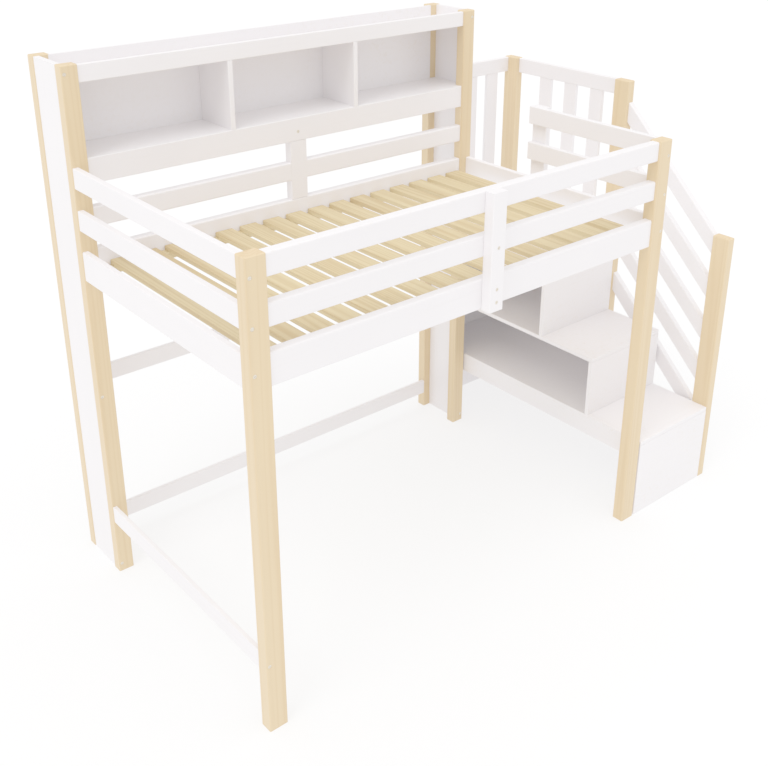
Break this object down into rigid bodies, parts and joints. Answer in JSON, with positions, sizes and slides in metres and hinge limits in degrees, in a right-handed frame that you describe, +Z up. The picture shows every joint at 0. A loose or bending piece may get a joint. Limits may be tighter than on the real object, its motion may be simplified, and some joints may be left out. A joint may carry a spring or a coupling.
{
  "type": "loft bed",
  "caption": "Free-standing loft bed with guard rails, a bookcase along its back edge and box stairs with a railed landing at one end.",
  "frame": {"origin": "on the floor, under the middle of the bounding box of bed and stairs", "axes": "+X along the bed towards the stairs, +Y from the open front to the bookcase, +Z up"},
  "size_m": [2.575, 1.475, 2.174],
  "materials": {
    "white_lacquer": "satin lacquer",
    "pine_post": "clear satin lacquer",
    "pine_slat": "planed, unfinished",
    "bolt_steel": "zinc plated"
  },
  "bodies": {
    "root": {"balusters_back": "white_lacquer", "balusters_side": "white_lacquer", "bolt_nuts": "bolt_steel", "bolts": "bolt_steel", "case_back_panel": "white_lacquer", "case_divider_left": "white_lacquer", "case_divider_right": "white_lacquer", "case_end_left": "white_lacquer", "case_end_right": "white_lacquer", "case_foot_left": "white_lacquer", "case_foot_right": "white_lacquer", "case_shelf": "white_lacquer", "case_shelf_front": "white_lacquer", "case_top_board": "white_lacquer", "case_top_front": "white_lacquer", "entry_upright": "white_lacquer", "guard_back_left": "white_lacquer", "guard_back_right": "white_lacquer", "guard_front_lower": "white_lacquer", "guard_front_upper": "white_lacquer", "guard_left_lower": "white_lacquer", "guard_left_upper": "white_lacquer", "guard_right_lower": "white_lacquer", "guard_right_upper": "white_lacquer", "landing_rail_back": "white_lacquer", "landing_rail_side": "white_lacquer", "ledger_back": "pine_slat", "ledger_front": "pine_slat", "post_case_left": "pine_post", "post_case_right": "pine_post", "post_front_left": "pine_post", "post_front_right": "pine_post", "post_rear_left": "pine_post", "post_rear_right": "pine_post", "rail_end_left": "white_lacquer", "rail_end_right": "white_lacquer", "rail_side_back": "white_lacquer", "rail_side_front": "white_lacquer", "slats": "pine_slat", "sloping_rails": "white_lacquer", "stair_back_panel": "white_lacquer", "stair_band": "white_lacquer", "stair_board_1": "white_lacquer", "stair_board_2": "white_lacquer", "stair_landing": "white_lacquer", "stair_post_front": "pine_post", "stair_post_middle": "pine_post", "stair_post_rear": "pine_post", "stair_riser_1": "white_lacquer", "stair_riser_2": "white_lacquer", "stair_riser_3": "white_lacquer", "stair_side_panel": "white_lacquer", "stretcher_back_high": "white_lacquer", "stretcher_back_low": "white_lacquer", "stretcher_left": "white_lacquer", "support_back": "white_lacquer", "support_front": "white_lacquer"}
  },
  "joints": []
}
